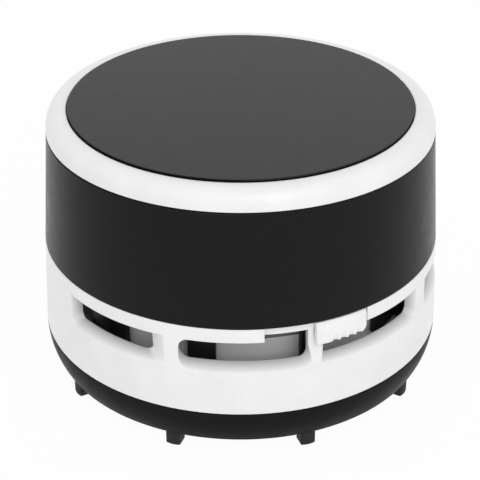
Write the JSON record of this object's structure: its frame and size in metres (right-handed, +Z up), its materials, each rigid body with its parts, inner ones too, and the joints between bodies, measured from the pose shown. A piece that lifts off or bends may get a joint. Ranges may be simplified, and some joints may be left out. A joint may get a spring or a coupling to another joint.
{
  "type": "desktop mini vacuum cleaner",
  "caption": "Round battery desk vacuum: lift-off dust tray on small feet, slotted exhaust ring with a slide switch, fan and motor inside, and a lift-off lid over the cells.",
  "frame": {"origin": "on the desk under the middle of the body, at the feet's lower faces", "axes": "+Z up through the lid, front at -Y, with the slide switch at the front right (+X)"},
  "size_m": [0.09, 0.09, 0.0629],
  "materials": {
    "lid_white": "smooth satin gloss",
    "disc_black": "satin, very fine grain",
    "band_black": "satin gloss",
    "vent_white": "smooth satin gloss",
    "tray_black": "satin",
    "foot_black": "matte moulded",
    "guide_grey": "satin moulded",
    "deck_black": "matte moulded",
    "knob_white": "smooth, finger grooves",
    "carrier_white": "matte moulded",
    "impeller_grey": "matte moulded",
    "shaft_steel": "ground",
    "screw_steel": "zinc plated",
    "motor_steel": "nickel plated, drawn",
    "motor_cap_plastic": "matte moulded",
    "magnet_dark": "sintered ferrite",
    "bush_bronze": "sintered, oiled",
    "armature_copper": "laminations and enamelled wire",
    "contact_brass": "stamped",
    "plate_nickel": "nickel plated",
    "spring_nickel": "nickel plated wire",
    "battery_tray_black": "matte moulded",
    "cell_skin": "plain printed film, no lettering",
    "filter_frame_black": "matte moulded",
    "filter_felt": "pressed felt",
    "seal_rubber": "soft foam",
    "lead_red": "pvc sleeve",
    "lead_black": "pvc sleeve"
  },
  "bodies": {
    "tray": {"base_tray": "tray_black", "foot_1": "foot_black", "foot_2": "foot_black", "foot_3": "foot_black", "foot_4": "foot_black", "foot_5": "foot_black", "foot_6": "foot_black", "foot_7": "foot_black", "foot_8": "foot_black", "foot_9": "foot_black"},
    "head": {"vent_ring": "vent_white", "air_guide": "guide_grey", "filter_frame": "filter_frame_black", "filter_pad": "filter_felt", "tray_seal": "seal_rubber", "motor_deck": "deck_black", "body_band": "band_black", "battery_tray": "battery_tray_black", "battery_1": "cell_skin", "battery_2": "cell_skin", "battery_springs": "spring_nickel", "battery_plates": "plate_nickel", "battery_link": "plate_nickel", "motor_can": "motor_steel", "motor_end_cap": "motor_cap_plastic", "motor_magnets": "magnet_dark", "motor_bushes": "bush_bronze", "motor_terminals": "contact_brass", "switch_contacts": "contact_brass", "deck_screws": "screw_steel", "tray_screws": "screw_steel", "lead_positive": "lead_red", "lead_switch": "lead_red", "lead_negative": "lead_black"},
    "fan": {"impeller": "impeller_grey", "motor_shaft": "shaft_steel", "motor_armature": "armature_copper"},
    "switch": {"switch_knob": "knob_white", "switch_carrier": "carrier_white", "switch_wiper": "contact_brass"},
    "lid": {"lid_ring": "lid_white", "lid_disc": "disc_black"}
  },
  "joints": [
    {"name": "tray_pull_off", "type": "slide", "parent": "tray", "child": "head", "axis": [0, 0, 1], "range_m": [0, 0.03]},
    {"name": "lid_lift_off", "type": "slide", "parent": "head", "child": "lid", "axis": [0, 0, 1], "range_m": [0, 0.03]},
    {"name": "fan_spin", "type": "hinge", "parent": "head", "child": "fan", "pos_m": [0, 0, 0.03], "axis": [0, 0, 1], "continuous": true},
    {"name": "switch_slide", "type": "hinge", "parent": "head", "child": "switch", "pos_m": [0, 0, 0.029], "axis": [0, 0, 1], "range_deg": [-12.1, 0]}
  ]
}
